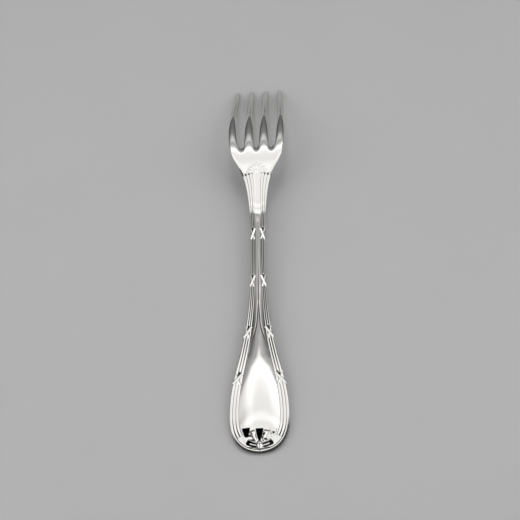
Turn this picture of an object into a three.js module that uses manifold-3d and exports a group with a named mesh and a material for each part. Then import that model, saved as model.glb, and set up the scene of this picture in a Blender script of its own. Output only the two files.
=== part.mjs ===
// A baby fork in polished silver, lying face down with its back up: it rests on the tips of
// its tines and on the end of its handle.
// The real fork is struck from one blank. Here it is divided where a silversmith names it:
// four tines, the palm that joins them, the neck, stem and handle panel, the three reeds along
// each edge, the crossed ribbons that tie the reeds, and the leaf ornaments on both faces.
// Each piece is drawn on the flat blank and then bent along one profile, as the fork is made.
// On the blank, x runs across, s runs from the handle end to the tips, and n goes through the
// thickness, with the back of the fork at +n.

import * as THREE from "three";
import { mergeVertices } from "three/addons/utils/BufferGeometryUtils.js";
import Module from "manifold-3d";

const wasm = await Module();
wasm.setup();

// Lengths along the blank, in millimetres
const HANDLE_LENGTH = 44;
const STEM_LENGTH = 42.5;
const NECK_LENGTH = 16.2;
const PALM_LENGTH = 8.8;
const TINE_LENGTH = 37.3;

// Plan of the blank: widths, where they lie, and how far each curve eases away from them
const HEAD_WIDTH = 19.8;
const HANDLE_TRIM = 0.5;
const HANDLE_WIDEST_AT = 12;
const END_EASE = 5.4;
const END_SIDE_EASE = 8.5;
const HANDLE_TAPER_EASE = 18.4;
const STEM_WIDTH = 4.75;
const WAIST_BELOW_NECK = 13;
const STEM_TAPER_EASE = 40.2;
const NECK_FLARE_EASE = 42.3;
const HEAD_WIDEST_ABOVE_ROOT = 7.9;
const SHOULDER_EASE = 20.5;
const TINE_SIDE_EASE = 9.5;
const TIP_SPAN = 17.2;
const TIP_TAPER = 0.5;

// Tines and the slots between them
const SLOT_WIDTH = 1.55;
const SLOT_PITCH = 5.25;
const TINE_WAIST_ABOVE_ROOT = 16.6;
const TINE_WAIST_WIDTH = 2.4;
const TINE_TIP_WIDTH = 1.95;
const TINE_TIP_PITCH = 5.18;
const TINE_TIP_LENGTH = 1.7;
const TINE_TIP_THINNING = 0.55;

// Thickness of the fork, over the crests of its reeds
const HANDLE_THICKNESS = 1.6;
const SHANK_THICKNESS = 2.35;
const STEM_THICKNESS = 2.6;
const NECK_THICKNESS = 2.3;
const PALM_THICKNESS = 2.0;
const TINE_TIP_THICKNESS = 1.1;
const EDGE_CHAMFER = 0.35;
const CHAMFER_PER_HALF_THICKNESS = 0.6;
const CHAMFER_PER_WIDTH = 0.3;

// Bend of the profile, in degrees, against the straight handle end
const STRAIGHT_BELOW_STEM = 17;
const SHANK_FALL = -1.9;
const STEM_FALL = -1;
const STEM_FALL_BELOW_NECK = 18.5;
const RISE_BELOW_NECK = 2.5;
const STEM_END_FALL = -0.2;
const NECK_RISE = 9.1;
const STEEPEST_BELOW_FAN = 7.2;
const PALM_RISE = 5.1;
const PALM_RISE_BELOW_ROOT = 0.5;
const CREST_FALL = -0.9;
const CREST_ABOVE_ROOT = 5.5;
const HEEL_FALL = -29.6;
const HEEL_ABOVE_ROOT = 17.5;
const TIP_FALL = -30.5;

// Reeds: three low rounded threads along each edge, seen on both faces
const REEDS = 3;
const REED_WIDTH_HANDLE = 1.0;
const REED_WIDTH_STEM = 0.55;
const REED_WIDTH_NECK = 1.18;
const REED_NARROW_ABOVE_HANDLE = 20;
const REED_RISE_PER_WIDTH = 0.2;
const REED_END_AT = 9.6;

// Field between the reeds: its crown on the back, and how much of it the front has
const END_CROWN_PER_HALF_WIDTH = 0.06;
const PANEL_CROWN_PER_HALF_WIDTH = 0.13;
const RIB_CROWN_PER_HALF_WIDTH = 0.02;
const RIDGE_CROWN_PER_HALF_WIDTH = 0.1;
const FRONT_CROWN_SHARE = 0.1;
const PANEL_FULL_ABOVE_WIDEST = 4;
const PANEL_FULL_BELOW_STEM = 18;
const RIB_FROM_ABOVE_HANDLE = 10;

// Ribbons that cross over the reeds
const TIES_AT = [25.6, 41.9, 61, 79.2];
const TIE_LENGTH = 4.2;
const TIE_REACH = 0.87;
const RIBBON_WIDTH = 0.8;
const RIBBON_THICKNESS = 0.22;

// Leaf ornaments
const FAN_LOBES = 7;
const FAN_SWEEP = 150;
const FAN_SPREAD = 1;
const FAN_LOBE_AT = 2.5;
const FAN_LOBE_LENGTH = 3.4;
const FAN_LOBE_WIDTH = 1.5;
const FAN_HUB_WIDTH = 3.6;
const PALMETTE_HUB_AT = 2.7;
const PALMETTE_LOBES = 5;
const PALMETTE_SWEEP = 112;
const PALMETTE_SPREAD = 1.45;
const PALMETTE_LOBE_AT = 2.7;
const PALMETTE_LOBE_LENGTH = 4.6;
const PALMETTE_LOBE_WIDTH = 2.3;
const SCROLL_LENGTH = 4.6;
const SCROLL_WIDTH = 1.9;
const SCROLL_OFFSET = 3.2;
const SCROLL_TURN = 65;
const BUD_LENGTH = 2.6;
const BUD_WIDTH = 1.9;
const ORNAMENT_RELIEF = 0.45;

// Hairline seam between neighbouring pieces, and the flats worn where the fork rests
const SEAM = 0.06;
const REST_WEAR = 0.1;

// Polished silver plate
const SILVER = 0xd8d7d3;
const POLISH = 0.12;

// Facets
const PROFILE_STEP = 0.1;
const END_STEP = 1.5;
const SIDE_STEP = 3.2;
const HEAD_STEP = 1.9;
const TINE_STEP = 3;
const ARC_STEPS = 4;
const CROWN_STEPS = 6;
const RIBBON_STEPS = 4;
const LOBE_SEGMENTS = 10;
const ORNAMENT_STEP = 1.2;
const SLOT_SEGMENTS = 16;
const TIP_ROUND_SWEEP = 76;
const TIP_ROUND_STEPS = 3;
const LAYING_PASSES = 8;

const STEM_AT = HANDLE_LENGTH;
const NECK_AT = STEM_AT + STEM_LENGTH;
const FAN_AT = NECK_AT + NECK_LENGTH;
const ROOT_AT = FAN_AT + PALM_LENGTH;
const TINES_AT = ROOT_AT + SLOT_WIDTH / 2;
const TIP_AT = ROOT_AT + TINE_LENGTH;
const HANDLE_WIDTH = HEAD_WIDTH - HANDLE_TRIM;

const { degToRad, lerp, clamp } = THREE.MathUtils;

// A smooth curve through [station, value] pairs that never overshoots them
function through(pairs) {
  const last = pairs.length - 1;
  const secant = (i) => (pairs[i + 1][1] - pairs[i][1]) / (pairs[i + 1][0] - pairs[i][0]);
  const slopes = pairs.map((pair, i) => {
    const before = secant(Math.max(i - 1, 0));
    const after = secant(Math.min(i, last - 1));
    return before * after > 0 ? (2 * before * after) / (before + after) : 0;
  });
  return (s) => {
    const above = pairs.findIndex((pair) => pair[0] >= s);
    const i = clamp((above < 0 ? last : above) - 1, 0, last - 1);
    const span = pairs[i + 1][0] - pairs[i][0];
    const t = clamp((s - pairs[i][0]) / span, 0, 1);
    const rise = 3 * t * t - 2 * t * t * t;
    const leave = t * (1 - t) * (1 - t) * span * slopes[i];
    const arrive = t * t * (1 - t) * span * slopes[i + 1];
    return lerp(pairs[i][1], pairs[i + 1][1], rise) + leave - arrive;
  };
}

// The bent profile of the blank, walked in short steps from the handle end
const slopeAt = through([
  [0, 0],
  [STEM_AT - STRAIGHT_BELOW_STEM, 0],
  [STEM_AT, SHANK_FALL],
  [NECK_AT - STEM_FALL_BELOW_NECK, STEM_FALL],
  [NECK_AT - RISE_BELOW_NECK, STEM_END_FALL],
  [FAN_AT - STEEPEST_BELOW_FAN, NECK_RISE],
  [ROOT_AT - PALM_RISE_BELOW_ROOT, PALM_RISE],
  [ROOT_AT + CREST_ABOVE_ROOT, CREST_FALL],
  [ROOT_AT + HEEL_ABOVE_ROOT, HEEL_FALL],
  [TIP_AT, TIP_FALL],
]);
const profile = [new THREE.Vector2(0, 0)];
for (let s = PROFILE_STEP / 2; s < TIP_AT + PROFILE_STEP; s += PROFILE_STEP) {
  const slope = degToRad(slopeAt(s));
  const step = new THREE.Vector2(Math.cos(slope), Math.sin(slope)).multiplyScalar(PROFILE_STEP);
  profile.push(profile[profile.length - 1].clone().add(step));
}

// Where a point of the flat blank lies on the bent fork
function bend(x, s, n) {
  const walked = clamp(s / PROFILE_STEP, 0, profile.length - 1);
  const i = Math.min(Math.floor(walked), profile.length - 2);
  const foot = profile[i].clone().lerp(profile[i + 1], walked - i);
  const slope = degToRad(slopeAt(s));
  return new THREE.Vector3(x, foot.x - n * Math.sin(slope), foot.y + n * Math.cos(slope));
}

// Right-hand outline of the blank in plan, from the middle of the handle end to the tine tip
const outline = new THREE.Path()
  .moveTo(0, 0)
  .bezierCurveTo(
    END_EASE, 0,
    HANDLE_WIDTH / 2, HANDLE_WIDEST_AT - END_SIDE_EASE,
    HANDLE_WIDTH / 2, HANDLE_WIDEST_AT)
  .bezierCurveTo(
    HANDLE_WIDTH / 2, HANDLE_WIDEST_AT + HANDLE_TAPER_EASE,
    STEM_WIDTH / 2, NECK_AT - WAIST_BELOW_NECK - STEM_TAPER_EASE,
    STEM_WIDTH / 2, NECK_AT - WAIST_BELOW_NECK)
  .bezierCurveTo(
    STEM_WIDTH / 2, NECK_AT - WAIST_BELOW_NECK + NECK_FLARE_EASE,
    HEAD_WIDTH / 2, ROOT_AT + HEAD_WIDEST_ABOVE_ROOT - SHOULDER_EASE,
    HEAD_WIDTH / 2, ROOT_AT + HEAD_WIDEST_ABOVE_ROOT)
  .bezierCurveTo(
    HEAD_WIDTH / 2, ROOT_AT + HEAD_WIDEST_ABOVE_ROOT + TINE_SIDE_EASE,
    TIP_SPAN / 2 + TIP_TAPER, TIP_AT - TINE_SIDE_EASE,
    TIP_SPAN / 2, TIP_AT);
const outlineLength = outline.getLength();

// The place u along the outline at which it reaches station s
function outlineAt(s) {
  let low = 0;
  let high = outlineLength;
  while (high - low > SEAM / 100) {
    const middle = (low + high) / 2;
    if (outline.getPoint(middle / outlineLength).y < s) low = middle;
    else high = middle;
  }
  return (low + high) / 2;
}

const halfWidthAt = (s) => outline.getPoint(outlineAt(s) / outlineLength).x;

// A point of the plan that lies a given inset inside the outline at u
function border(u, inset) {
  const point = outline.getPoint(u / outlineLength);
  const tangent = outline.getTangent(u / outlineLength);
  return new THREE.Vector2(point.x - inset * tangent.y, point.y + inset * tangent.x);
}

const thicknessAt = through([
  [0, HANDLE_THICKNESS],
  [HANDLE_WIDEST_AT, HANDLE_THICKNESS],
  [STEM_AT, SHANK_THICKNESS],
  [NECK_AT - WAIST_BELOW_NECK, STEM_THICKNESS],
  [FAN_AT, NECK_THICKNESS],
]);
const reedWidthAt = through([
  [0, REED_WIDTH_HANDLE],
  [HANDLE_WIDEST_AT, REED_WIDTH_HANDLE],
  [STEM_AT + REED_NARROW_ABOVE_HANDLE, REED_WIDTH_STEM],
  [NECK_AT, REED_WIDTH_STEM],
  [FAN_AT, REED_WIDTH_NECK],
]);

const crownPerHalfWidthAt = through([
  [0, END_CROWN_PER_HALF_WIDTH],
  [HANDLE_WIDEST_AT + PANEL_FULL_ABOVE_WIDEST, PANEL_CROWN_PER_HALF_WIDTH],
  [STEM_AT - PANEL_FULL_BELOW_STEM, PANEL_CROWN_PER_HALF_WIDTH],
  [STEM_AT + RIB_FROM_ABOVE_HANDLE, RIB_CROWN_PER_HALF_WIDTH],
  [NECK_AT, RIB_CROWN_PER_HALF_WIDTH],
  [FAN_AT, RIDGE_CROWN_PER_HALF_WIDTH],
]);

// A closed solid through rings that all have the same number of points
function loft(rings) {
  const count = rings[0].length;
  const positions = rings.flat().flatMap((point) => point.toArray());
  const index = [];
  for (let ring = 0; ring + 1 < rings.length; ring += 1) {
    for (let i = 0; i < count; i += 1) {
      const a = ring * count + i;
      const b = ring * count + ((i + 1) % count);
      index.push(a, b, b + count, a, b + count, a + count);
    }
  }
  const last = (rings.length - 1) * count;
  for (let i = 1; i + 1 < count; i += 1) {
    index.push(0, i + 1, i, last, last + i, last + i + 1);
  }
  const geometry = new THREE.BufferGeometry();
  geometry.setAttribute("position", new THREE.Float32BufferAttribute(positions, 3));
  geometry.setIndex(index);
  return geometry;
}

// Joining and cutting
function solid(geometry) {
  const bare = geometry.clone();
  bare.deleteAttribute("normal");
  bare.deleteAttribute("uv");
  const merged = mergeVertices(bare);
  const triVerts = Uint32Array.from(merged.index.array);
  const vertProperties = Float32Array.from(merged.attributes.position.array);
  const body = new wasm.Manifold(new wasm.Mesh({ numProp: 3, vertProperties, triVerts }));
  if (body.volume() > 0) return body;
  return new wasm.Manifold(new wasm.Mesh({ numProp: 3, vertProperties, triVerts: triVerts.reverse() }));
}

function geometryOf(body) {
  const mesh = body.getMesh();
  const geometry = new THREE.BufferGeometry();
  geometry.setAttribute("position", new THREE.Float32BufferAttribute(mesh.vertProperties, 3));
  geometry.setIndex(Array.from(mesh.triVerts));
  return geometry;
}

const joined = (geometries) => geometries.map(solid).reduce((sum, body) => sum.add(body));

// Everything on one side of a plane, as a block large enough to cut with
function block(axis, place, side) {
  const size = 4 * TIP_AT;
  const centre = new THREE.Vector3();
  centre[axis] = place + (side * size) / 2;
  return solid(new THREE.BoxGeometry(size, size, size).translate(...centre.toArray()));
}

const aboveFanLine = block("y", FAN_AT - SEAM, 1);
const belowFanLine = block("y", FAN_AT, -1);
const belowFace = block("z", 0, -1);

// Each point (x, s, n) of a piece drawn on the flat blank, moved to a new place
function remap(geometry, place) {
  const points = geometry.attributes.position;
  const moved = new THREE.Vector3();
  for (let i = 0; i < points.count; i += 1) {
    moved.fromBufferAttribute(points, i);
    points.setXYZ(i, ...place(moved.x, moved.y, moved.z).toArray());
  }
  return geometry;
}

function evenSteps(from, to, step) {
  const count = Math.max(1, Math.round((to - from) / step));
  return Array.from({ length: count + 1 }, (unused, i) => lerp(from, to, i / count));
}

const flatPieces = [];
function addPiece(name, body) {
  flatPieces.push({ name, body });
}

// Head: the palm and the tines have bars with chamfered edges as their cross-section
function barRing(s, left, right, thickness) {
  const half = thickness / 2;
  const most = Math.min(half * CHAMFER_PER_HALF_THICKNESS, (right - left) * CHAMFER_PER_WIDTH);
  const cut = Math.min(EDGE_CHAMFER, most);
  const corners = [
    [left, half - cut], [left, cut - half], [left + cut, -half], [right - cut, -half],
    [right, cut - half], [right, half - cut], [right - cut, half], [left + cut, half],
  ];
  return corners.map(([x, n]) => new THREE.Vector3(x, s, n));
}

const headThicknessAt = through([
  [FAN_AT, NECK_THICKNESS],
  [TINES_AT, PALM_THICKNESS],
  [TIP_AT, TINE_TIP_THICKNESS],
]);

function palm() {
  const rings = evenSteps(FAN_AT, TINES_AT, HEAD_STEP).map((s) => {
    const half = halfWidthAt(s);
    return barRing(s, -half, half, headThicknessAt(s));
  });
  const slots = [-SLOT_PITCH, 0, SLOT_PITCH].map((x) => {
    const slot = new THREE.CylinderGeometry(SLOT_WIDTH / 2, SLOT_WIDTH / 2, TIP_AT, SLOT_SEGMENTS);
    return solid(slot.rotateX(Math.PI / 2).translate(x, TINES_AT, 0));
  });
  return slots.reduce((body, slot) => body.subtract(slot), solid(loft(rings)));
}

// The sides of an outer tine follow the outline, and an inner tine stands on its own middle
function tine(isOuter, hand) {
  const innerRoot = isOuter ? SLOT_PITCH + SLOT_WIDTH / 2 : SLOT_WIDTH / 2;
  const outerRoot = isOuter ? halfWidthAt(TINES_AT) : SLOT_PITCH - SLOT_WIDTH / 2;
  const widthAt = through([
    [TINES_AT, outerRoot - innerRoot],
    [ROOT_AT + TINE_WAIST_ABOVE_ROOT, TINE_WAIST_WIDTH],
    [TIP_AT, TINE_TIP_WIDTH],
  ]);
  const innerMiddleAt = through([
    [TINES_AT, (innerRoot + outerRoot) / 2],
    [TIP_AT, TINE_TIP_PITCH / 2],
  ]);
  const roundFrom = TIP_AT - TINE_TIP_LENGTH;
  const roundSteps = evenSteps(0, TIP_ROUND_SWEEP, TIP_ROUND_SWEEP / TIP_ROUND_STEPS)
    .slice(1)
    .map((angle) => roundFrom + TINE_TIP_LENGTH * Math.sin(degToRad(angle)));
  const rings = [...evenSteps(TINES_AT, roundFrom, TINE_STEP), ...roundSteps].map((s) => {
    const into = clamp((s - roundFrom) / TINE_TIP_LENGTH, 0, 1);
    const round = Math.sqrt(1 - into * into);
    const half = widthAt(s) / 2;
    const middle = isOuter ? halfWidthAt(s) - half : innerMiddleAt(s);
    const thickness = headThicknessAt(s) * lerp(TINE_TIP_THINNING, 1, round);
    const sides = [middle - half * round, middle + half * round].map((x) => x * hand);
    return barRing(s, Math.min(...sides), Math.max(...sides), thickness);
  });
  return solid(loft(rings));
}

addPiece("palm", palm());
for (const [side, hand] of [["left", -1], ["right", 1]]) {
  addPiece(`tine_outer_${side}`, tine(true, hand));
  addPiece(`tine_inner_${side}`, tine(false, hand));
}

// Reeds: each is round over its crest on both faces and stands beside the next
function reedRing(u, number) {
  const s = border(u, 0).y;
  const width = reedWidthAt(s);
  const from = number === 0 ? 0 : number * width + SEAM / 2;
  const half = ((number + 1) * width - SEAM / 2 - from) / 2;
  const round = REED_RISE_PER_WIDTH * width;
  const waist = thicknessAt(s) / 2 - round;
  const ring = [];
  for (const face of [1, -1]) {
    for (let i = 0; i <= ARC_STEPS; i += 1) {
      const angle = (Math.PI * i) / ARC_STEPS;
      const place = border(u, from + half - face * half * Math.cos(angle));
      ring.push(new THREE.Vector3(place.x, place.y, face * (waist + round * Math.sin(angle))));
    }
  }
  return ring;
}

const mirrored = (ring) => ring.map((point) => new THREE.Vector3(-point.x, point.y, point.z));

const sideEndAt = outlineAt(FAN_AT + REEDS * REED_WIDTH_NECK);
const cornerAt = outlineAt(HANDLE_WIDEST_AT);
const sideStations = [
  ...evenSteps(REED_END_AT, cornerAt, END_STEP),
  ...evenSteps(cornerAt, sideEndAt, SIDE_STEP).slice(1),
];

// The rim reed runs unbroken round the handle end; the others stop beside the end palmette
function rimReed() {
  const stations = [...evenSteps(0, REED_END_AT, END_STEP), ...sideStations.slice(1)];
  const right = stations.map((u) => reedRing(u, 0));
  const left = right.slice(1).reverse().map(mirrored);
  return solid(loft([...left, ...right])).subtract(aboveFanLine);
}

function sideReed(number, hand) {
  const rings = sideStations.map((u) => reedRing(u, number));
  return solid(loft(hand < 0 ? rings.map(mirrored) : rings)).subtract(aboveFanLine);
}

addPiece("reed_rim", rimReed());
for (const [side, hand] of [["left", -1], ["right", 1]]) {
  addPiece(`reed_middle_${side}`, sideReed(1, hand));
  addPiece(`reed_inner_${side}`, sideReed(2, hand));
}

// Panel: the crowned field between the inner reeds, which narrows to a rib on the stem
const panelSpots = [
  ...evenSteps(END_STEP, REED_END_AT - SEAM, END_STEP).map((u) => panelSpot(u, 1)),
  ...sideStations.map((u) => panelSpot(u, REEDS)),
];

function panelSpot(u, reeds) {
  const s = border(u, 0).y;
  const width = reedWidthAt(s);
  const spot = border(u, reeds * width + SEAM / 2);
  const edge = thicknessAt(s) / 2 - REED_RISE_PER_WIDTH * width;
  const crown = crownPerHalfWidthAt(s) * spot.x;
  return { half: spot.x, s: spot.y, edge, crown };
}

const crownShare = (face) => (face > 0 ? 1 : FRONT_CROWN_SHARE);

function panelRing({ half, s, edge, crown }) {
  const ring = [];
  for (const face of [1, -1]) {
    for (let i = 0; i <= CROWN_STEPS; i += 1) {
      const across = face * (1 - (2 * i) / CROWN_STEPS);
      const n = face * (edge + crownShare(face) * crown * (1 - across * across));
      ring.push(new THREE.Vector3(across * half, s, n));
    }
  }
  return ring;
}

const stemSpot = panelSpots.findIndex((spot) => spot.s > STEM_AT);
const neckSpot = panelSpots.findIndex((spot) => spot.s > NECK_AT);
const panelBody = (spots) => solid(loft(spots.map(panelRing)));
addPiece("handle_panel", panelBody(panelSpots.slice(0, stemSpot + 1)));
addPiece("stem_rib", panelBody(panelSpots.slice(stemSpot, neckSpot + 1)));
addPiece("neck_ridge", panelBody(panelSpots.slice(neckSpot)).subtract(aboveFanLine));

// Ribbon ties: two ribbons cross over the reeds on each face and turn round the rim
function ribbonRing(u, inset, low, high) {
  const corners = [[-1, low], [1, low], [1, high], [-1, high]];
  return corners.map(([along, n]) => {
    const place = border(u + (along * RIBBON_WIDTH) / 2, inset);
    return new THREE.Vector3(place.x, place.y, n);
  });
}

const ribbonSeatAt = (u) => thicknessAt(border(u, 0).y) / 2 + SEAM;

function ribbonTie(s, hand) {
  const middle = outlineAt(s);
  const outside = -SEAM - RIBBON_THICKNESS;
  const inside = TIE_REACH * REEDS * reedWidthAt(s);
  const strips = [];
  for (const lean of [1, -1]) {
    for (const face of [1, -1]) {
      const rings = evenSteps(0, 1, 1 / RIBBON_STEPS).map((part) => {
        const u = middle + lean * TIE_LENGTH * (part - 0.5);
        const seat = ribbonSeatAt(u);
        return ribbonRing(u, lerp(outside, inside, part), face * seat, face * (seat + RIBBON_THICKNESS));
      });
      strips.push(loft(rings));
    }
    const turnAt = middle - (lean * TIE_LENGTH) / 2;
    const reach = ribbonSeatAt(turnAt) + RIBBON_THICKNESS / 2;
    strips.push(loft([outside, -SEAM].map((inset) => ribbonRing(turnAt, inset, -reach, reach))));
  }
  return joined(hand < 0 ? strips.map((strip) => strip.scale(-1, 1, 1)) : strips);
}

TIES_AT.forEach((s, tie) => {
  addPiece(`ribbon_tie_${tie + 1}_left`, ribbonTie(s, -1));
  addPiece(`ribbon_tie_${tie + 1}_right`, ribbonTie(s, 1));
});

// Ornaments: lobes of low relief round a hub, seated on the back or the front face
function lobe(width, length, x, s, turn) {
  const dome = new THREE.SphereGeometry(1, LOBE_SEGMENTS, LOBE_SEGMENTS);
  dome.scale(width / 2, length / 2, ORNAMENT_RELIEF);
  return dome.rotateZ(-degToRad(turn)).translate(x, s, 0);
}

function fanOfLobes(count, sweep, hubAt, reach, spread, width, length) {
  return evenSteps(-sweep / 2, sweep / 2, sweep / (count - 1)).map((turn) => {
    const angle = degToRad(turn);
    const x = spread * reach * Math.sin(angle);
    return lobe(width, length, x, hubAt + reach * Math.cos(angle), turn);
  });
}

function ornament(body, face, heightAt) {
  const relief = geometryOf(body.subtract(belowFace).refineToLength(ORNAMENT_STEP));
  return solid(remap(relief, (x, s, n) => new THREE.Vector3(x, s, face * (heightAt(x, s, face) + SEAM + n))));
}

const neckFan = [
  ...fanOfLobes(FAN_LOBES, FAN_SWEEP, FAN_AT, FAN_LOBE_AT, FAN_SPREAD, FAN_LOBE_WIDTH, FAN_LOBE_LENGTH),
  lobe(FAN_HUB_WIDTH, FAN_HUB_WIDTH, 0, FAN_AT, 0),
];
const palmette = [
  ...fanOfLobes(PALMETTE_LOBES, PALMETTE_SWEEP, PALMETTE_HUB_AT, PALMETTE_LOBE_AT, PALMETTE_SPREAD,
    PALMETTE_LOBE_WIDTH, PALMETTE_LOBE_LENGTH),
  lobe(BUD_WIDTH, BUD_LENGTH, 0, PALMETTE_HUB_AT, 0),
  lobe(SCROLL_WIDTH, SCROLL_LENGTH, -SCROLL_OFFSET, PALMETTE_HUB_AT, -SCROLL_TURN),
  lobe(SCROLL_WIDTH, SCROLL_LENGTH, SCROLL_OFFSET, PALMETTE_HUB_AT, SCROLL_TURN),
];

function panelHeightAt(x, s, face) {
  const above = clamp(panelSpots.findIndex((spot) => spot.s >= s), 1, panelSpots.length - 1);
  const [low, high] = panelSpots.slice(above - 1, above + 1);
  const part = clamp((s - low.s) / (high.s - low.s), 0, 1);
  const across = clamp(x / lerp(low.half, high.half, part), -1, 1);
  const crown = crownShare(face) * lerp(low.crown, high.crown, part);
  return lerp(low.edge, high.edge, part) + crown * (1 - across * across);
}

const palmHeightAt = (x, s) => headThicknessAt(s) / 2;

for (const [name, face] of [["back", 1], ["front", -1]]) {
  addPiece(`neck_fan_${name}`, ornament(joined(neckFan).subtract(belowFanLine), face, palmHeightAt));
  addPiece(`end_palmette_${name}`, ornament(joined(palmette), face, panelHeightAt));
}

// Bend every piece and lay the fork down until its handle end and its tine tips are equally low
const bent = flatPieces.map(({ name, body }) => ({ name, geometry: remap(geometryOf(body), bend) }));

function lowestOf(isThere) {
  const low = new THREE.Vector3(0, 0, Infinity);
  const point = new THREE.Vector3();
  for (const { geometry } of bent) {
    for (let i = 0; i < geometry.attributes.position.count; i += 1) {
      point.fromBufferAttribute(geometry.attributes.position, i);
      if (isThere(point) && point.z < low.z) low.copy(point);
    }
  }
  return low;
}

for (let pass = 0; pass < LAYING_PASSES; pass += 1) {
  const end = lowestOf((point) => point.y < STEM_AT);
  const tip = lowestOf((point) => point.y > NECK_AT);
  const tilt = Math.atan2(tip.z - end.z, tip.y - end.y);
  bent.forEach(({ geometry }) => geometry.rotateX(-tilt));
}

// Set the origin under the middle of the fork, wear its resting places flat and name the meshes
const bounds = new THREE.Box3();
for (const { geometry } of bent) {
  geometry.computeBoundingBox();
  bounds.union(geometry.boundingBox);
}
const middle = bounds.getCenter(new THREE.Vector3());
const belowTable = block("z", 0, -1);

const fork = new THREE.Group();
for (const { name, geometry } of bent) {
  geometry.translate(-middle.x, -middle.y, -bounds.min.z - REST_WEAR);
  const worn = geometryOf(solid(geometry).subtract(belowTable));
  worn.computeVertexNormals();
  const silver = new THREE.MeshStandardMaterial({ color: SILVER, roughness: POLISH, metalness: 1 });
  const mesh = new THREE.Mesh(worn, silver);
  mesh.name = name;
  fork.add(mesh);
}

export default fork;
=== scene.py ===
import math

import bpy
import numpy as np
from mathutils import Matrix, Vector


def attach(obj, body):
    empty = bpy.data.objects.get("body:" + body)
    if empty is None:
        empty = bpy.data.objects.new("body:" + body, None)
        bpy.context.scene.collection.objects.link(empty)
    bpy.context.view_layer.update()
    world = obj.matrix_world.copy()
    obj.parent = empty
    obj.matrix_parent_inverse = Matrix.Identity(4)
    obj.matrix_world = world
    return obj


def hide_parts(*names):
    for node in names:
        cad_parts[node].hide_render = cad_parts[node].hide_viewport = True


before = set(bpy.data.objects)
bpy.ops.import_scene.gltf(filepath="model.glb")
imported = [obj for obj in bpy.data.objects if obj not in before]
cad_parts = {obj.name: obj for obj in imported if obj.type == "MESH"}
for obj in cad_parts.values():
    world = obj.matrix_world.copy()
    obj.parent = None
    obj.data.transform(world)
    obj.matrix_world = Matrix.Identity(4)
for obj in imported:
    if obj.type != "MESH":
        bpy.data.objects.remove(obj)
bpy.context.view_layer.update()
bpy.ops.object.select_all(action="DESELECT")


# The blank: one strip of nickel silver, pierced and struck flat, then bent to the profile of a
# fork. Every piece below is shaped on the flat blank and laid on the bent one: x across the fork,
# y along it from the handle end, z through its thickness, with the back of the fork up.
MM = 0.001
stem_at = 44 * MM
neck_at = stem_at + 42.5 * MM
fan_at = neck_at + 16.2 * MM
root_at = fan_at + 8.8 * MM
tip_at = root_at + 37.3 * MM
waist_at = neck_at - 13 * MM
handle_widest_at = 12 * MM
head_widest_at = root_at + 7.9 * MM


def through(*pairs):
    """A smooth curve through (station, value) pairs that never overshoots them."""
    x = np.array([p[0] for p in pairs], float)
    y = np.array([p[1] for p in pairs], float)
    rise = np.diff(y) / np.diff(x)
    before = np.concatenate([rise[:1], rise])
    after = np.concatenate([rise, rise[-1:]])
    both = before * after
    slope = np.where(both > 0, 2 * both / np.where(both > 0, before + after, 1), 0)

    def value(s):
        i = np.clip(np.searchsorted(x, s) - 1, 0, len(x) - 2)
        span = x[i + 1] - x[i]
        t = np.clip((s - x[i]) / span, 0, 1)
        step = y[i] + (y[i + 1] - y[i]) * (3 * t**2 - 2 * t**3)
        return step + span * t * (1 - t) * ((1 - t) * slope[i] - t * slope[i + 1])

    return value


bend_slope = through(
    (0, 0),
    (stem_at - 17 * MM, 0),
    (stem_at, math.radians(-1.9)),
    (neck_at - 18.5 * MM, math.radians(-1)),
    (neck_at - 2.5 * MM, math.radians(-0.2)),
    (fan_at - 7.2 * MM, math.radians(9.1)),
    (root_at - 0.5 * MM, math.radians(5.1)),
    (root_at + 5.5 * MM, math.radians(-0.9)),
    (root_at + 17.5 * MM, math.radians(-29.6)),
    (tip_at, math.radians(-30.5)),
)
walked = np.arange(0, tip_at + 0.05 * MM, 0.05 * MM)
walk_slope = bend_slope((walked[:-1] + walked[1:]) / 2)
walk_y = np.concatenate([[0], np.cumsum(np.cos(walk_slope) * np.diff(walked))])
walk_z = np.concatenate([[0], np.cumsum(np.sin(walk_slope) * np.diff(walked))])

# How the bent fork lies face down on the table: the tilt of its handle, the place of its end
handle_tilt = math.radians(4.158)
end_y = -72.877 * MM
end_z = 0.8285 * MM


def lay_on_profile(points):
    """Points of the flat blank, moved to where they lie on the bent fork."""
    x, s, n = points.T
    slope = bend_slope(s)
    y = np.interp(s, walked, walk_y) + np.minimum(s, 0) - n * np.sin(slope)
    z = np.interp(s, walked, walk_z) + n * np.cos(slope)
    turned_y = y * math.cos(handle_tilt) - z * math.sin(handle_tilt) + end_y
    turned_z = y * math.sin(handle_tilt) + z * math.cos(handle_tilt) + end_z
    return np.stack([x, turned_y, np.maximum(turned_z, 0)], 1)


outline_steps = 400


def bezier(*points):
    """One stretch of the outline, as a Bezier curve through two ends with two handles."""
    t = np.linspace(0, 1, outline_steps)[:, None]
    a, b, c, d = (np.array(p, float) for p in points)
    return (1 - t) ** 3 * a + 3 * (1 - t) ** 2 * t * b + 3 * (1 - t) * t**2 * c + t**3 * d


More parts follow.
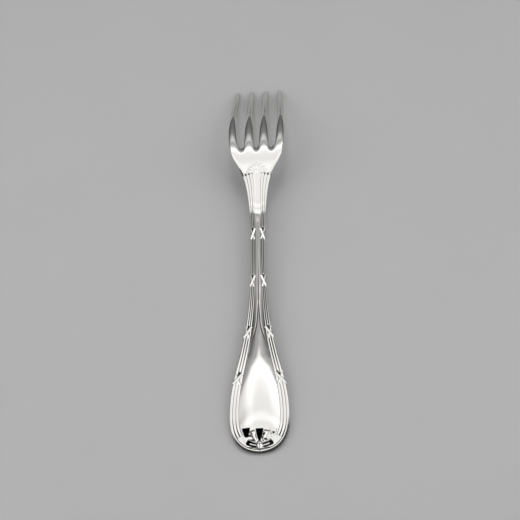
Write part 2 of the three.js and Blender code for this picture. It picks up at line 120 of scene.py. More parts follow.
# Right-hand outline of the blank in plan, from the middle of the handle end to the tine tip
half_handle = 19.3 / 2 * MM
half_stem = 4.75 / 2 * MM
half_head = 19.8 / 2 * MM
half_tips = 17.2 / 2 * MM
outline = np.concatenate([
    bezier((0, 0), (5.4 * MM, 0),
           (half_handle, handle_widest_at - 8.5 * MM), (half_handle, handle_widest_at)),
    bezier((half_handle, handle_widest_at), (half_handle, handle_widest_at + 18.4 * MM),
           (half_stem, waist_at - 40.2 * MM), (half_stem, waist_at))[1:],
    bezier((half_stem, waist_at), (half_stem, waist_at + 42.3 * MM),
           (half_head, head_widest_at - 20.5 * MM), (half_head, head_widest_at))[1:],
    bezier((half_head, head_widest_at), (half_head, head_widest_at + 9.5 * MM),
           (half_tips + 0.5 * MM, tip_at - 9.5 * MM), (half_tips, tip_at))[1:],
])
outline_run = np.concatenate([[0], np.cumsum(np.linalg.norm(np.diff(outline, axis=0), axis=1))])
outline_heading = np.gradient(outline, outline_run, axis=0)


def half_width_at(s):
    return np.interp(s, outline[:, 1], outline[:, 0])


# Head: the palm and its four tines, one plate of silver-plated nickel silver pierced from the
# blank. The palm is plain and polished, and the tines taper from the round roots of the slots to
# blunt tips, with edges softened by filing.
slot_width = 1.55 * MM
slot_pitch = 5.25 * MM
tine_tip_pitch = 5.18 * MM
tine_slims_at = root_at + 16.6 * MM
slim_tine = 2.4 * MM
tine_tip = 1.95 * MM
tip_rounding = 0.66
head_thickness = through((fan_at, 2.3 * MM), (root_at, 2.0 * MM), (tip_at, 1.1 * MM))
edge_round = 0.2 * MM
seam = 0.06 * MM
tip_end = tip_at - 0.1 * MM
web = 1.7 * MM
slot_hollow = 0.6 * MM
slot_dish = 2.3 * MM
rolled_edge = 1.1 * MM

tine_edges = []
for inner, outer in [(slot_width / 2, slot_pitch - slot_width / 2),
                     (slot_pitch + slot_width / 2, half_width_at(root_at))]:
    tine_edges += [(inner, outer), (-outer, -inner)]
tine_edges.sort()


def tine_shape(inner, outer, s):
    """Width of a tine and the place of its middle line at a station."""
    width = through((root_at, outer - inner), (tine_slims_at, slim_tine), (tip_at, tine_tip))(s)
    middle = through((root_at, abs(inner + outer) / 2), (tip_at, tine_tip_pitch / 2))(s)
    if max(abs(inner), abs(outer)) > slot_pitch:
        middle = half_width_at(s) - width / 2
    return width, math.copysign(1, inner + outer) * middle


columns = [x for inner, outer in tine_edges for x in (inner, (inner + outer) / 2, outer)]
columns = sorted(columns + [-slot_pitch, 0, slot_pitch])
rows = np.linspace(fan_at - seam, root_at + web, 8)
tine_rows = [root_at + past * MM for past in (2.4, 5, 8.5, 12.5, 17, 22, 27, 32, 35.5)] + [tip_end]

bpy.ops.mesh.primitive_grid_add(x_subdivisions=len(columns) - 1, y_subdivisions=len(rows) - 1, size=1)
head = bpy.context.object
head.name = "head"
for vertex in head.data.vertices:
    column = round((vertex.co.x + 0.5) * (len(columns) - 1))
    row = round((vertex.co.y + 0.5) * (len(rows) - 1))
    narrowed = half_width_at(min(rows[row], root_at)) / half_width_at(root_at)
    in_slot = row == len(rows) - 1 and column % 4 == 3
    vertex.co = (columns[column] * narrowed, rows[row] - in_slot * slot_hollow, 0)

for inner, outer in tine_edges:
    bpy.ops.object.mode_set(mode="EDIT")
    bpy.ops.mesh.select_mode(type="EDGE")
    bpy.ops.mesh.select_all(action="DESELECT")
    bpy.ops.object.mode_set(mode="OBJECT")
    for edge in head.data.edges:
        ends = [head.data.vertices[i].co for i in edge.vertices]
        on_last_row = all(abs(p.y - rows[-1]) < 1e-6 for p in ends)
        edge.select = on_last_row and all(inner - 0.1 * MM < p.x < outer + 0.1 * MM for p in ends)
    last = rows[-1]
    for station in tine_rows:
        bpy.ops.object.mode_set(mode="EDIT")
        bpy.ops.mesh.extrude_region_move(TRANSFORM_OT_translate={"value": (0, station - last, 0)})
        bpy.ops.object.mode_set(mode="OBJECT")
        width, middle = tine_shape(inner, outer, station)
        if station == tip_end:
            width *= tip_rounding
        picked = sorted((v for v in head.data.vertices if v.select), key=lambda v: v.co.x)
        for step, vertex in zip((-0.5, 0, 0.5), picked):
            vertex.co.x = middle + step * width
        last = station


def apply_modifier(piece, kind, **settings):
    modifier = piece.modifiers.new(kind.lower(), kind)
    for name, value in settings.items():
        setattr(modifier, name, value)
    bpy.ops.object.modifier_apply(modifier=modifier.name)


apply_modifier(head, "SOLIDIFY", thickness=1 * MM, offset=0)
for side in (1, -1):
    bpy.ops.object.mode_set(mode="EDIT")
    bpy.ops.mesh.select_mode(type="FACE")
    bpy.ops.mesh.select_all(action="DESELECT")
    bpy.ops.object.mode_set(mode="OBJECT")
    for face in head.data.polygons:
        face.select = face.normal.z * side > 0.9
    bpy.ops.object.mode_set(mode="EDIT")
    bpy.ops.mesh.inset(thickness=edge_round, use_even_offset=True, use_boundary=True)
    bpy.ops.object.mode_set(mode="OBJECT")
bpy.ops.object.mode_set(mode="EDIT")
bpy.ops.mesh.select_mode(type="EDGE")
bpy.ops.mesh.select_all(action="DESELECT")
bpy.ops.object.mode_set(mode="OBJECT")
for edge in head.data.edges:
    edge.select = all(abs(head.data.vertices[i].co.y - rows[0]) < 1e-6 for i in edge.vertices)
bpy.ops.object.mode_set(mode="EDIT")
bpy.ops.transform.edge_crease(value=1)
bpy.ops.object.mode_set(mode="OBJECT")
apply_modifier(head, "SUBSURF", levels=3, render_levels=3)


# Polished silver plate: a bright, faintly warm mirror, darkened by one attribute that holds both the
# tarnish left in hollows and painted shade. The haze of table scratches is too fine to show, so it is
# drawn as 2.5 mm clouds in the roughness, and the hand polishing as a faint 4 mm ripple in the
# reflections.
def linear(code):
    """An sRGB hex colour as linear RGBA."""
    parts = [int(code[i:i + 2], 16) / 255 for i in (1, 3, 5)]
    return [p / 12.92 if p <= 0.04045 else ((p + 0.055) / 1.055) ** 2.4 for p in parts] + [1]


def add_node(tree, kind, links=(), **settings):
    """Adds a node with its settings, and joins (output socket, input name) links to it."""
    node = tree.nodes.new(kind)
    for name, value in settings.items():
        if name in node.inputs:
            node.inputs[name].default_value = value
        else:
            setattr(node, name, value)
    for source, target in links:
        tree.links.new(source, node.inputs[target])
    return node


polished_silver = bpy.data.materials.new("polished silver plate")
polished_silver.use_nodes = True
tree = polished_silver.node_tree
silver = tree.nodes["Principled BSDF"]
silver.inputs["Metallic"].default_value = 1
# Tarnish and painted shade, read from one attribute, darken the base colour
tarnish_and_painted_shade = add_node(tree, "ShaderNodeAttribute", attribute_name="tarnish_and_painted_shade")
shade = add_node(tree, "ShaderNodeValToRGB", [(tarnish_and_painted_shade.outputs["Fac"], "Fac")])
shade.color_ramp.elements[0].color = linear("#f0efec")
shade.color_ramp.elements[1].color = linear("#1c1a19")
tree.links.new(shade.outputs["Color"], silver.inputs["Base Color"])
place = add_node(tree, "ShaderNodeTexCoord").outputs["Object"]
haze = add_node(tree, "ShaderNodeTexNoise", [(place, "Vector")], Scale=1 / (2.5 * MM), Detail=4)
spread = add_node(tree, "ShaderNodeMapRange", [(haze.outputs["Fac"], "Value")])
spread.inputs["To Min"].default_value = 0.02
spread.inputs["To Max"].default_value = 0.05
tree.links.new(spread.outputs["Result"], silver.inputs["Roughness"])
wave = add_node(tree, "ShaderNodeTexNoise", [(place, "Vector")], Scale=1 / (4 * MM), Detail=0)
ripple = add_node(tree, "ShaderNodeBump", [(wave.outputs["Fac"], "Height")], Distance=0.004 * MM)
tree.links.new(ripple.outputs["Normal"], silver.inputs["Normal"])


def points_of(piece):
    flat = np.empty(len(piece.data.vertices) * 3)
    piece.data.vertices.foreach_get("co", flat)
    return flat.reshape(-1, 3)


def finish_piece(piece, points, material, slot, *nodes, tarnish_and_painted_shade=None):
    """Lays the flat piece on the bent fork, smooths it and joins it to the frame."""
    # The attribute holds tarnish and painted shade
    if tarnish_and_painted_shade is not None:
        piece.data.attributes.new("tarnish_and_painted_shade", "FLOAT", "POINT").data.foreach_set("value", tarnish_and_painted_shade)
    piece.data.vertices.foreach_set("co", lay_on_profile(points).ravel())
    piece.data.update()
    bpy.ops.object.select_all(action="DESELECT")
    piece.select_set(True)
    bpy.context.view_layer.objects.active = piece
    bpy.ops.object.mode_set(mode="EDIT")
    bpy.ops.mesh.select_all(action="SELECT")
    bpy.ops.mesh.normals_make_consistent(inside=False)
    bpy.ops.object.mode_set(mode="OBJECT")
    bpy.ops.object.shade_smooth_by_angle(angle=math.radians(50))
    piece.data.materials.clear()
    piece.data.materials.append(material)
    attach(piece, "root")
    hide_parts(*nodes)


def smooth_step(low, high, value):
    t = np.clip((value - low) / (high - low), 0, 1)
    return t * t * (3 - 2 * t)


def edge_gap(points):
    """How far inside the outline the points of the flat blank lie."""
    lean = np.interp(points[:, 1], outline[:, 1], outline_heading[:, 1])
    return (half_width_at(points[:, 1]) - abs(points[:, 0])) * lean


# The flat head is given its thickness, with rounded tines, dished slot roots and rolled edges. Its
# tines are darkened with painted shade towards their tips and along their edges, and one edge is
# dark beside the fan.
flat = points_of(head)
s = flat[:, 1]
off_middle = np.ones(len(flat))
for inner, outer in tine_edges:
    width, middle = tine_shape(inner, outer, np.maximum(s, root_at))
    off_middle = np.minimum(off_middle, abs(flat[:, 0] - middle) / (width / 2))
rounding = 0.55 * smooth_step(root_at + 1 * MM, root_at + 14 * MM, s) * off_middle**2.3
rounding += 0.15 * smooth_step(root_at - 1.5 * MM, root_at + 4 * MM, s) * off_middle**4
rounding += 0.045 * smooth_step(root_at - 0.4 * MM, root_at + 3 * MM, s)
for slot_x in (-slot_pitch, 0, slot_pitch):
    from_slot = np.hypot(1.7 * (flat[:, 0] - slot_x), s - root_at - 1.5 * MM)
    rounding += 0.5 * np.clip(1 - from_slot / slot_dish, 0, 1) ** 2
rolled = 0.11 * np.clip(1 - edge_gap(flat) / rolled_edge, 0, 1) ** 2
rolled *= smooth_step(root_at + 5 * MM, root_at, s)
flat[:, 2] *= head_thickness(s) / MM * (1 - rounding - rolled)
# Painted shade: the tines darken towards their tips and their edges
painted_tip_shade = 0.1 + 0.3 * off_middle**2
painted_tip_shade *= smooth_step(root_at + 14 * MM, root_at + 20 * MM, s)
corner = 0.95 * smooth_step(0.5 * MM, 0.25 * MM, edge_gap(flat)) * (flat[:, 0] < 0)
corner *= smooth_step(fan_at + 2.4 * MM, fan_at + 1.2 * MM, s)
finish_piece(head, flat, polished_silver, "polished_silver", "palm", "tine_outer_left",
             "tine_inner_left", "tine_inner_right", "tine_outer_right",
             tarnish_and_painted_shade=np.maximum(painted_tip_shade, corner))


# Reeds: three low rounded threads of the same plated metal, struck along each edge by the dies on
# both faces. The outer one is the rim and runs unbroken round the handle end; the other two stop
# beside the end palmette.
reed_width = through((0, 1.0 * MM), (handle_widest_at, 1.0 * MM), (stem_at + 20 * MM, 0.55 * MM),
                     (neck_at, 0.55 * MM), (fan_at, 1.18 * MM))
rolled_thickness = through((0, 1.6 * MM), (handle_widest_at, 1.6 * MM), (stem_at, 2.35 * MM),
                           (waist_at, 2.6 * MM), (fan_at, 2.3 * MM))
neck_dip = through((neck_at - 2.5 * MM, 0), (neck_at + 3 * MM, 0.1 * MM), (fan_at - 1 * MM, 0))


def crest_thickness(s):
    """Thickness over the crests of the reeds, a little pinched where the stem meets the neck."""
    return rolled_thickness(s) - 2 * neck_dip(s)


reed_dome = through((0, 0.07), (stem_at - 20 * MM, 0.08), (stem_at - 4 * MM, 0.17), (neck_at, 0.17),
                    (neck_at + 8 * MM, 0.05), (fan_at, 0.04))
groove_depth = 0.08
# How dark the grooves are along the blank: tarnish, deepened with painted shade near the handle end,
# on the stem and just below the tie nearest the neck
groove_shade = through((0, 1.1), (4 * MM, 1.9), (8 * MM, 1.6), (handle_widest_at, 0.05),
                       (stem_at - 20 * MM, 0.05), (stem_at, 0.9), (neck_at - 20 * MM, 0.8),
                       (neck_at - 14 * MM, 1.5), (neck_at - 10 * MM, 1.5), (neck_at - 4 * MM, 0.9),
                       (neck_at + 4 * MM, 0.1), (fan_at, 0.1))
tie_places = [25.6 * MM, 41.9 * MM, 61 * MM, 79.2 * MM]


def border(u, inset):
    """The place (x, s) that lies a given inset inside the outline at u along it."""
    x, s = (np.interp(u, outline_run, outline[:, k]) for k in (0, 1))
    head_x, head_s = (np.interp(u, outline_run, outline_heading[:, k]) for k in (0, 1))
    length = np.hypot(head_x, head_s)
    return x - inset * head_s / length, s + inset * head_x / length


def outline_at(s):
    return np.interp(s, outline[:, 1], outline_run)


reed_end_at = 9.6 * MM
reed_stop_at = outline_at(fan_at + 3.4 * MM)


def rolled_bar(name, rings):
    """A closed bar through rings of points: a sheet rolled up, seamed and capped at its ends."""
    along, around = rings.shape[:2]
    bpy.ops.mesh.primitive_grid_add(x_subdivisions=around, y_subdivisions=along - 1, size=1)
    bar = bpy.context.object
    bar.name = name
    sheet = points_of(bar)
    column = np.rint((sheet[:, 0] + 0.5) * around).astype(int) % around
    row = np.rint((sheet[:, 1] + 0.5) * (along - 1)).astype(int)
    bar.data.vertices.foreach_set("co", rings[row, column].ravel())
    bpy.ops.object.mode_set(mode="EDIT")
    bpy.ops.mesh.select_all(action="SELECT")
    bpy.ops.mesh.remove_doubles(threshold=0.0005 * MM)
    bpy.ops.mesh.fill_holes(sides=0)
    bpy.ops.object.mode_set(mode="OBJECT")
    return bar


def cut_at_fan_line(piece):
    bpy.ops.object.mode_set(mode="EDIT")
    bpy.ops.mesh.select_all(action="SELECT")
    bpy.ops.mesh.bisect(plane_co=(0, fan_at - seam, 0), plane_no=(0, 1, 0),
                        clear_outer=True, use_fill=True)
    bpy.ops.object.mode_set(mode="OBJECT")


def steps(start, end, step):
    return np.linspace(start, end, max(2, round((end - start) / step) + 1))


def reed_rings(stations, number):
    """Rings of the reed with this number from the edge, nicked at the fan line, and the middle reed
    also behind each tie.
    """
    s = border(stations, 0)[1]
    width = reed_width(s)
    half_across = np.array([0, 0.2, 0.4, 0.6, 0.78, 0.87, 0.94, 1])
    across = np.concatenate([-half_across[:0:-1], half_across])
    before_fan = (fan_at - seam - s) / MM
    nick = np.where(before_fan < 1, 0.32 * MM * np.clip(before_fan, 0, 1), 0)
    pit = 0 * s
    if number == 1:
        for tie in tie_places:
            past = (s - tie) / MM
            pit += 0.45 * MM * smooth_step(0.2, 0.5, past) * np.clip((2.6 - past) / 1.4, 0, 1)
    ring = []
    for face in (1, -1):
        for t in across * face:
            x, along = border(stations, (number + 0.5 + 0.495 * t) * width)
            drop = reed_dome(s) * t**2 + groove_depth * np.clip((abs(t) - 0.8) / 0.2, 0, 1) ** 2
            stop = nick * smooth_step(0.4, 0.7, abs(t))
            level = crest_thickness(s) / 2 - drop * width - pit - stop
            ring.append(np.stack([x, along, face * level], 1))
    return np.stack(ring, 1)


def patina_and_painted_shade(points):
    """Tarnish in the grooves and nicks, deepened with painted shade on the stem and near the handle
    end, painted shade on the rim's outer wall and round the handle end, a darker left edge by the fan,
    and a line of painted shade along the middle of the rim at the end.
    """
    x, s, n = points.T
    gap = edge_gap(points)
    depth = crest_thickness(s) / 2 - abs(n)
    depth /= (reed_dome(s) + groove_depth) * reed_width(s)
    # Near the handle end the dark of the grooves is widened: painted shade
    spread = 1 + smooth_step(10 * MM, 5 * MM, s)
    grooves = np.minimum(groove_shade(s) * smooth_step(0.2, 0.65, spread * depth), 1)
    nicks = smooth_step(1.3, 2, depth)
    inside = np.maximum(grooves, nicks) * smooth_step(0.05 * MM, 0.2 * MM, gap)
    # Painted shade on the rim's outer wall, darker on its lower half
    painted_wall_shade = smooth_step(0.05 * MM, 0.02 * MM, gap) * smooth_step(1.2, 2, depth)
    painted_wall_shade *= 0.4 + 0.55 * smooth_step(0, -0.2 * MM, n)
    # Painted shade along the edge round the handle end, reaching further up on the right
    under = 0.92 * smooth_step(0.65 * MM, 0.3 * MM, gap)
    under *= smooth_step(8 * MM, 3 * MM, s - 5 * MM * (x > 0))
    corner = 0.95 * smooth_step(0.5 * MM, 0.25 * MM, gap) * (x < 0)
    corner *= smooth_step(fan_at - 1.6 * MM, fan_at - 0.4 * MM, s)
    # A line of painted shade along the middle of the rim at the handle end, where the bud's crease
    # runs on
    crease = 0.8 * np.exp(-((x / (0.13 * MM)) ** 2)) * smooth_step(1.6 * MM, 1.2 * MM, s)
    return np.max([inside, painted_wall_shade, under, corner, crease], axis=0)


mirror = np.array([-1, 1, 1])
right = reed_rings(steps(0, reed_stop_at, 0.2 * MM), 0)
rim = rolled_bar("rim_reed", np.concatenate([right[:0:-1] * mirror, right]))
cut_at_fan_line(rim)
finish_piece(rim, points_of(rim), polished_silver, "polished_silver", "reed_rim",
             tarnish_and_painted_shade=patina_and_painted_shade(points_of(rim)))
for number, which in ((1, "middle"), (2, "inner")):
    for side, hand in (("left", mirror), ("right", 1)):
        reed = rolled_bar(f"{which}_reed_{side}",
                          reed_rings(steps(reed_end_at, reed_stop_at, 0.2 * MM), number) * hand)
        cut_at_fan_line(reed)
        finish_piece(reed, points_of(reed), polished_silver, "polished_silver", f"reed_{which}_{side}",
                     tarnish_and_painted_shade=patina_and_painted_shade(points_of(reed)))


# Field: the plain polished metal that the dies leave between the reeds. It is a crowned panel on
# the handle, with a pointed tongue, thins to a rib between the reeds of the stem and widens again
# to a ridge on the neck. The front face has little of the crown.
crown_per_half = through((0, 0.06), (handle_widest_at + 4 * MM, 0.13), (stem_at - 18 * MM, 0.13),
                         (stem_at + 10 * MM, 0.02), (neck_at, 0.02), (fan_at, 0.1))
crown_share = {1: 1, -1: 0.1}
flank_depth = through((0, 0), (stem_at - 14.5 * MM, 0), (stem_at - 12 * MM, 0.05 * MM),
                      (stem_at - 9 * MM, 0.28 * MM), (stem_at - 4 * MM, 0.48 * MM),
                      (stem_at + 1 * MM, 0.44 * MM), (stem_at + 9 * MM, 0.25 * MM),
                      (stem_at + 17 * MM, 0.08 * MM), (neck_at, 0.05 * MM), (fan_at - 5 * MM, 0))
tongue_half = through((stem_at - 6 * MM, 2.4 * MM), (stem_at + 1 * MM, 0.65 * MM),
                      (stem_at + 4.7 * MM, 0.35 * MM), (stem_at + 9.5 * MM, 0))
tongue_line = through((stem_at - 6 * MM, 0), (stem_at, 0.1 * MM), (stem_at + 4 * MM, 0.09 * MM),
                      (stem_at + 30 * MM, 0))
palmette_top_at = 8.5 * MM


def field_shape(stations, reeds):
    """Half width, place along the blank, edge height and crown of the field."""
    s = border(stations, 0)[1]
    half, along = border(stations, (reeds + 0.01) * reed_width(s))
    edge = crest_thickness(s) / 2 - (reed_dome(s) + groove_depth) * reed_width(s)
    return half, along, edge, crown_per_half(s) * half


def tongue_groove(x, s):
    """Depth of the line that draws the pointed end of the panel on the stem."""
    return tongue_line(s) * np.exp(-(((abs(x) - tongue_half(s)) / (0.18 * MM)) ** 2))


def field_rings(stations):
    half, along, edge, crown = field_shape(stations, 3)
    flank = flank_depth(along)
    ring = []
    for face in (1, -1):
        for t in face * np.sin(np.linspace(-math.pi / 2, math.pi / 2, 61)):
            level = edge - flank * t**2 + crown_share[face] * crown * (1 - t**2)
            level -= tongue_groove(t * half, along)
            ring.append(np.stack([t * half, along, face * level], 1))
    return np.stack(ring, 1)


field = rolled_bar("field", field_rings(steps(reed_end_at, reed_stop_at, 0.4 * MM)))
cut_at_fan_line(field)
bpy.ops.object.mode_set(mode="EDIT")
bpy.ops.mesh.select_all(action="SELECT")
bpy.ops.mesh.bisect(plane_co=(0, palmette_top_at, 0), plane_no=(0, -1, 0),
                    clear_outer=True, use_fill=True)
bpy.ops.object.mode_set(mode="OBJECT")
struck = points_of(field)
tongue = tongue_groove(struck[:, 0], struck[:, 1])
# Painted shade along the tongue line: its groove is drawn dark down to its faint end
finish_piece(field, struck, polished_silver, "polished_silver",
             "handle_panel", "stem_rib", "neck_ridge",
             tarnish_and_painted_shade=0.8 * smooth_step(0.005 * MM, 0.05 * MM, tongue))


# Ribbon ties: narrow ribbons of the blank's own metal, struck in relief and chased. Two cross over
# the reeds at each of four places on both edges, and turn round the rim to cross again on the
# front face. Their chased silver plate is less bright: the punches leave it a little rougher.
chased_silver = polished_silver.copy()
chased_silver.name = "chased silver plate"
chased_silver.node_tree.nodes["Map Range"].inputs["To Max"].default_value = 0.1
tie_length = 4.2 * MM
tie_reach = 0.87
ribbon_ridge = 0.6
upper_strand = {"lean": 1, "lift": 0.07 * MM, "breadth": 1.15, "taper": 0}
lower_strand = {"lean": -1, "lift": -0.02 * MM, "breadth": 0.9, "taper": 0.6}


def ribbon_rings(u0, lean, lift, breadth, taper):
    """Rings of one ribbon: from the inner end on the back, round the rim, to that on the front."""
    part = np.linspace(1, 0, 22)
    width = reed_width(border(u0, 0)[1])
    half_width = (0.18 * MM + 0.26 * width) * breadth
    u = u0 + lean * tie_length * (part - 0.5)
    inset = part * tie_reach * 3 * width
    crest = crest_thickness(border(u, 0)[1]) / 2
    level = crest + lift
    turn = np.linspace(0, math.pi, 12)[1:-1]
    all_u = np.concatenate([u, np.full(len(turn), u[-1]), u[::-1]])
    all_inset = np.concatenate([inset, -0.06 * MM * np.sin(turn), inset[::-1]])
    all_n = np.concatenate([level, crest[-1] * np.cos(turn), -level[::-1]])
    out = np.concatenate([np.zeros(len(u)), np.sin(turn), np.zeros(len(u))])
    up = np.concatenate([np.ones(len(u)), np.cos(turn), -np.ones(len(u))])
    x, along = border(all_u, all_inset)
    x_in, along_in = border(all_u, all_inset + 0.01 * MM)
    path = np.stack([x, along, all_n], 1)
    inward = np.stack([x_in - x, along_in - along, 0 * x], 1) / (0.01 * MM)
    normal = np.array([0, 0, 1]) * up[:, None] - inward * out[:, None]
    across = np.cross(np.gradient(path, axis=0), normal)
    across /= np.linalg.norm(across, axis=1)[:, None]
    across *= np.sign(across[0, 1])
    share = np.concatenate([part, np.zeros(len(turn)), part[::-1]])[:, None]
    across *= half_width * (1 - taper * (1 - share))
    ring = []
    for t in np.linspace(-1, 1, 13):
        rise = 0.04 + 0.08 * min((t + 1) / (1 + ribbon_ridge), (1 - t) / (1 - ribbon_ridge))
        ring.append(path + across * t + normal * rise * MM)
    for t in (1, 0, -1):
        ring.append(path + across * t - normal * 0.3 * MM)
    return np.stack(ring, 1)


def join_pieces(name, pieces):
    bpy.ops.object.select_all(action="DESELECT")
    for piece in pieces:
        piece.select_set(True)
    bpy.context.view_layer.objects.active = pieces[0]
    bpy.ops.object.join()
    pieces[0].name = name
    return pieces[0]


for number, s in enumerate(tie_places, 1):
    for side, hand in (("left", mirror), ("right", 1)):
        strands = [rolled_bar("strand", ribbon_rings(outline_at(s), **strand) * hand)
                   for strand in (upper_strand, lower_strand)]
        tie = join_pieces(f"ribbon_{number}_{side}", strands)
        struck = points_of(tie)
        foot = crest_thickness(struck[:, 1]) / 2 - abs(struck[:, 2])
        # Painted shade on the ribbons' sides down to the reeds they cross
        painted_foot_shade = smooth_step(-0.03 * MM, 0.06 * MM, foot)
        painted_foot_shade *= smooth_step(0.1 * MM, 0.3 * MM, edge_gap(struck))
        finish_piece(tie, struck, chased_silver, "chased_silver", f"ribbon_tie_{number}_{side}",
                     tarnish_and_painted_shade=painted_foot_shade)


# End palmettes: a five-lobed leaf over a pair of scroll leaves and a bud, struck into both faces
# of the handle end and chased. The middle and outer lobes are scooped, the two between them are
# domed, and the hollows hold a dark stain; in the left outer lobe the dark is painted shade.
def along_lobe(x, s, start, end):
    """How far along a lobe's axis a point is, from 0 to 1, and how far beside it."""
    axis = np.subtract(end, start)
    length = np.hypot(*axis)
    dx, ds = x - start[0], s - start[1]
    return (dx * axis[0] + ds * axis[1]) / length**2, (dx * axis[1] - ds * axis[0]) / length


def lobe_relief(x, s):
    """Height and dark stain of the five lobes and the pits beside them, with painted shade in the left
    outer lobe.
    """
    right = abs(x)
    height = 0 * x
    stain_and_painted_shade = 0 * x
    middle_lobe = ((0, 4.0), (0, 7.9), 0.3, 1.35, 0.9, 1)
    # Only the left outer lobe is darkened, with painted shade; the right one stays bright
    outer_lobe = ((4.2, 5.2), (4.4, 8.2), 0.45, 1.4, 0.6, x < 0)
    for start, end, narrow, wide, depth, dark in (middle_lobe, outer_lobe):
        u, beside = along_lobe(right, s, start, end)
        half = narrow + (wide - narrow) * np.clip(u, 0, 1) ** 0.7
        inside = smooth_step(1, 0.9, abs(beside) / half) * smooth_step(-0.06, 0, u)
        height -= depth * inside * np.clip(1 - u, 0, 1)
        stain_and_painted_shade += dark * inside * smooth_step(1, 0.96, u)
    u, beside = along_lobe(right, s, (1.2, 3.4), (2.4, 7.3))
    half = 0.5 + 0.5 * np.clip(u, 0, 1)
    dome = np.clip(1 - (beside / half) ** 2, 0, 1)
    dome *= smooth_step(-0.05, 0.3, u) * smooth_step(1.02, 0.8, u)
    height += 0.25 * dome**0.7
    pits = [(-3.2, 5.5, 0.65, 0.35), (-2.3, 4, 0.7, 0.25), (1.4, 6, 0.4, 0.4),
            (0.8, 4.85, 0.25, 0.25), (1.9, 4.2, 0.6, 0.3), (4.4, 6.5, 0.35, 0.35)]
    for pit_x, pit_s, pit_width, pit_length in pits:
        pit = smooth_step(1.15, 0.75, np.hypot((x - pit_x) / pit_width, (s - pit_s) / pit_length))
        height -= 0.08 * pit
        stain_and_painted_shade = np.maximum(stain_and_painted_shade, 0.9 * pit)
    return height, stain_and_painted_shade


def palmette_relief(x, s):
    """Height of the ornament over the plain field and its dark stain (painted shade in the left outer
    lobe), with x and s in millimetres.
    """
    height, stain_and_painted_shade = lobe_relief(x, s)

    # The scroll leaves lie along the rim, each hollow, with a raised vein and a lip
    rim = outline[:outline_steps:4] / MM
    from_rim = np.linalg.norm(np.stack([abs(x), s], -1)[..., None, :] - rim, axis=-1)
    inset = from_rim.min(-1)
    run_at = outline_run[:outline_steps:4][from_rim.argmin(-1)] / MM
    along = np.clip((run_at - 0.9) / 5.0, 0, 1)
    blunt = np.clip(1 - np.clip((along - 0.8) / 0.2, 0, 1) ** 2, 0.0001, 1)
    half = (0.6 + 0.35 * along) * np.sqrt(blunt)
    across = inset - 2.05 - 0.3 * along
    vein = 0.19 * smooth_step(0.72, 0.6, along)
    lip = 0.1 * np.exp(-(((abs(across) - half - 0.2) / 0.14) ** 2)) * (across > 0) * (along < 0.99)
    scoop = -0.3 * (np.where(across < 0, -vein, half) - across)
    leaf = np.where(abs(across) < vein, 0.05, scoop)
    in_leaf = abs(across) < half
    height = np.where(in_leaf, leaf, height + lip)
    stain_and_painted_shade = np.where(in_leaf, 1.0 * (abs(across) > vein), stain_and_painted_shade)

    # The bud stands over the join of the two leaves, with a crease along it and one across
    bud = np.clip(1 - (x / 1.1) ** 2 - ((s - 2.1) / 1.75) ** 2, 0, 1) ** 0.7
    crease = 0.1 * np.exp(-((x / 0.1) ** 2)) * smooth_step(3.1, 2.7, s)
    crease += 0.05 * np.exp(-(((s - 2.9) / 0.12) ** 2))
    on_bud = bud > 0
    return np.where(on_bud, 0.3 * bud - crease * bud, height), np.where(on_bud, 0, stain_and_painted_shade)


# The ornament lies on a plate that is as wide as the rim lets it be below the ends of the inner
# reeds, and as wide as the field above them.
bed_half, bed_along, bed_edge, bed_crown = field_shape(steps(0.6 * MM, 16 * MM, 0.2 * MM), 1)
side_half, side_along, side_edge, side_crown = field_shape(steps(reed_end_at, 16 * MM, 0.2 * MM), 3)
plate_s = steps(1.02 * MM, palmette_top_at, 0.07 * MM)
bed_end_at = border(reed_end_at, reed_width(0))[1]
plate_half = np.where(plate_s < bed_end_at, np.interp(plate_s, bed_along, bed_half),
                      np.interp(plate_s, np.append(bed_end_at, side_along),
                                np.append(np.interp(bed_end_at, bed_along, bed_half), side_half)))
plate_x = np.linspace(-1, 1, 141)[None, :] * plate_half[:, None]
plate_y = plate_s[:, None] + 0 * plate_x
relief = palmette_relief(plate_x / MM, plate_y / MM)[0] * MM
under = np.stack([plate_x, plate_y, 0 * plate_x + 0.02 * MM], -1)[:, ::-1]
for name, face in (("back", 1), ("front", -1)):
    levels = []
    for along, half, edge, crown in ((bed_along, bed_half, bed_edge, bed_crown),
                                     (side_along, side_half, side_edge, side_crown)):
        half, edge, crown = (np.interp(plate_s, along, values)[:, None]
                             for values in (half, edge, crown))
        levels.append(edge + crown_share[face] * crown * np.maximum(1 - (plate_x / half) ** 2, 0))
    at_bud = np.exp(-((plate_x / (1.1 * MM)) ** 2))
    join = smooth_step(0.7, 1.9, plate_y / MM + 0.9 * at_bud)
    level = levels[0] + (levels[1] - levels[0]) * join + relief
    top = np.stack([plate_x, plate_y, np.maximum(level, 0.06 * MM)], -1)
    rings = np.concatenate([top, under], 1) * np.array([1, 1, face])
    palmette = rolled_bar(f"palmette_{name}", rings)
    struck = points_of(palmette)
    stain_and_painted_shade = palmette_relief(struck[:, :1] / MM, struck[:, 1:2] / MM)[1][:, 0]
    finish_piece(palmette, struck, chased_silver, "chased_silver", f"end_palmette_{name}",
                 tarnish_and_painted_shade=stain_and_painted_shade)


# Neck fans: a half round of seven small leaves on both faces of the palm, where the reeds end. They
# are struck with the rest of the blank, stand a twentieth of a millimetre proud and are chased.
fan_leaves = 7
leaf_start = 0.9 * MM
leaf_end = 4.0 * MM
leaf_half_width = 0.62 * MM
leaf_rise = 0.05 * MM


